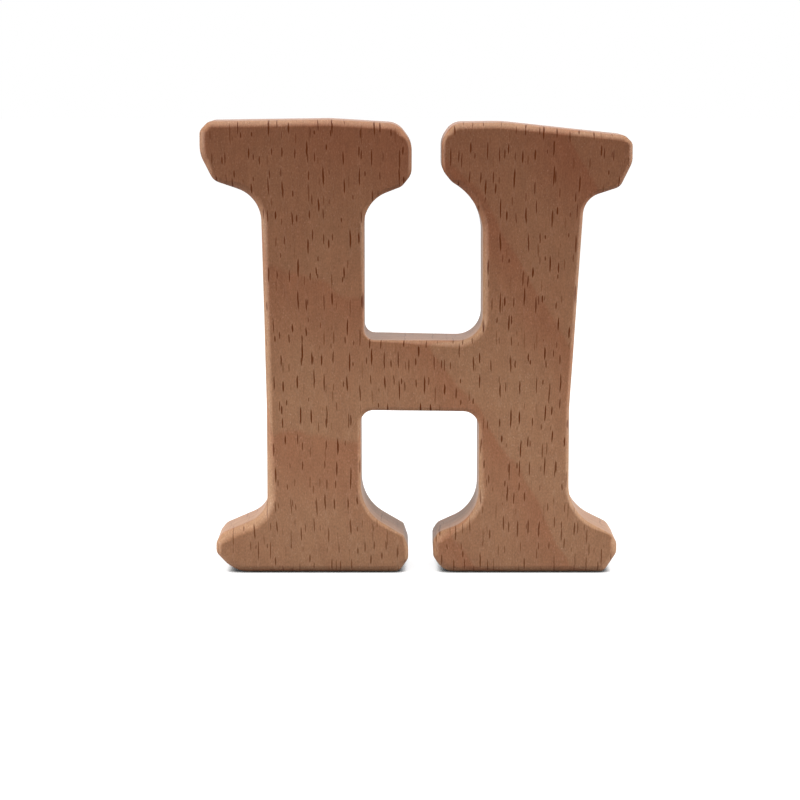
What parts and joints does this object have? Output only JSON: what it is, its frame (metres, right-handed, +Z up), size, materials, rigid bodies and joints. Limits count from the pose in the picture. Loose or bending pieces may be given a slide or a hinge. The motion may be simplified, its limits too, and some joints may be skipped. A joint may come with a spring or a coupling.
{
  "type": "wooden letter teether",
  "caption": "Flat wooden capital H with bracketed slab serifs, a crossbar and hand-rounded edges, for a baby to grip and chew or to stand on a shelf.",
  "frame": {"origin": "on the standing surface, under the middle of the letter's width and thickness", "axes": "+Z up along the stems, +X to the reader's right, the readable front face looks along -Y"},
  "size_m": [0.0624, 0.012, 0.066],
  "materials": {
    "beech": "sanded smooth and oiled, soft satin"
  },
  "bodies": {
    "root": {"beech_letter": "beech"}
  },
  "joints": []
}
